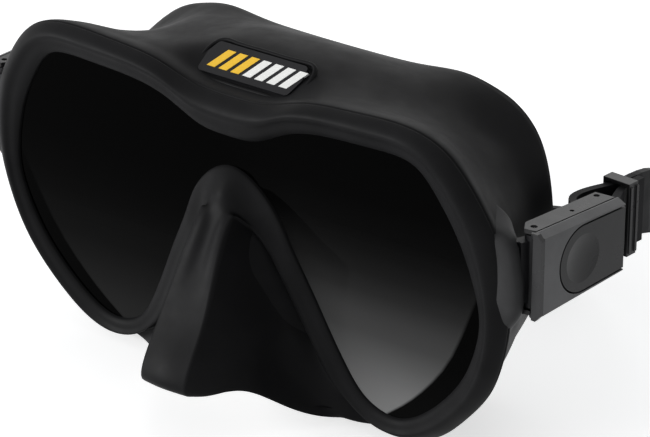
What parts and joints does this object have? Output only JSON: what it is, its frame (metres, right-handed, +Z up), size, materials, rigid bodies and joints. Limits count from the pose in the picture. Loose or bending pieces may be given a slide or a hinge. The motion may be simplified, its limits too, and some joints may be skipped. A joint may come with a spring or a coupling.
{
  "type": "diving mask",
  "caption": "Low-volume diving mask: silicone skirt bonded round a flat glass, nose pocket, hinged quick-release buckles at the sides and an adjustable rubber head strap.",
  "frame": {"origin": "bottom centre of the part's bounding box; X = 0 is the mask's plane of symmetry", "axes": "+Z up, -Y the way the mask faces, +X to the right seen from the front"},
  "size_m": [0.1888, 0.149, 0.0932],
  "materials": {
    "silicone": "matte",
    "glass": "polished",
    "badge_rubber": "satin",
    "yellow_rubber": "satin",
    "white_rubber": "satin",
    "strap_rubber": "matte",
    "buckle_plastic": "satin",
    "button_plastic": "satin",
    "inner_plastic": "satin",
    "steel": "satin"
  },
  "bodies": {
    "mask": {"skirt": "silicone", "lens": "glass", "brow_badge": "badge_rubber", "badge_stripes_yellow": "yellow_rubber", "badge_stripes_white": "white_rubber", "head_strap": "strap_rubber", "lug_anchor_left": "inner_plastic", "lug_anchor_right": "inner_plastic"},
    "buckle_left": {"buckle_shell_left": "buckle_plastic", "buckle_cover_left": "buckle_plastic", "hinge_pin_left": "steel", "button_springs_left": "steel", "pawl_pin_left": "steel", "roller_axle_left": "steel", "strap_end_left": "strap_rubber", "strap_keeper_left": "buckle_plastic"},
    "button_left": {"release_button_left": "button_plastic"},
    "pawl_left": {"pawl_left": "inner_plastic"},
    "roller_left": {"strap_roller_left": "inner_plastic"},
    "buckle_right": {"buckle_shell_right": "buckle_plastic", "buckle_cover_right": "buckle_plastic", "hinge_pin_right": "steel", "button_springs_right": "steel", "pawl_pin_right": "steel", "roller_axle_right": "steel", "strap_end_right": "strap_rubber", "strap_keeper_right": "buckle_plastic"},
    "button_right": {"release_button_right": "button_plastic"},
    "pawl_right": {"pawl_right": "inner_plastic"},
    "roller_right": {"strap_roller_right": "inner_plastic"}
  },
  "joints": [
    {"name": "buckle_hinge_left", "type": "hinge", "parent": "mask", "child": "buckle_left", "pos_m": [-0.087, -0.03587, 0.05966], "axis": [0, 0, 1], "range_deg": [-8, 11]},
    {"name": "button_slide_left", "type": "slide", "parent": "buckle_left", "child": "button_left", "axis": [0.9972, 0.075, 0], "range_m": [0, 0.0008], "stiffness_N_per_m": 600},
    {"name": "pawl_pivot_left", "type": "hinge", "parent": "buckle_left", "child": "pawl_left", "pos_m": [-0.08828, -0.02152, 0.05966], "axis": [0, 0, 1], "range_deg": [0, 6.2]},
    {"name": "roller_spin_left", "type": "hinge", "parent": "buckle_left", "child": "roller_left", "pos_m": [-0.08738, -0.00942, 0.05966], "axis": [0, 0, 1], "continuous": true},
    {"name": "buckle_hinge_right", "type": "hinge", "parent": "mask", "child": "buckle_right", "pos_m": [0.087, -0.03587, 0.05966], "axis": [0, 0, -1], "range_deg": [-8, 11]},
    {"name": "button_slide_right", "type": "slide", "parent": "buckle_right", "child": "button_right", "axis": [-0.9972, 0.075, 0], "range_m": [0, 0.0008], "stiffness_N_per_m": 600},
    {"name": "pawl_pivot_right", "type": "hinge", "parent": "buckle_right", "child": "pawl_right", "pos_m": [0.08828, -0.02152, 0.05966], "axis": [0, 0, -1], "range_deg": [0, 6.2]},
    {"name": "roller_spin_right", "type": "hinge", "parent": "buckle_right", "child": "roller_right", "pos_m": [0.08738, -0.00942, 0.05966], "axis": [0, 0, 1], "continuous": true}
  ],
  "couplings": [
    {"joint": "pawl_pivot_left", "follows": "button_slide_left", "rad_per_m": 131.6},
    {"joint": "pawl_pivot_right", "follows": "button_slide_right", "rad_per_m": 131.6}
  ]
}
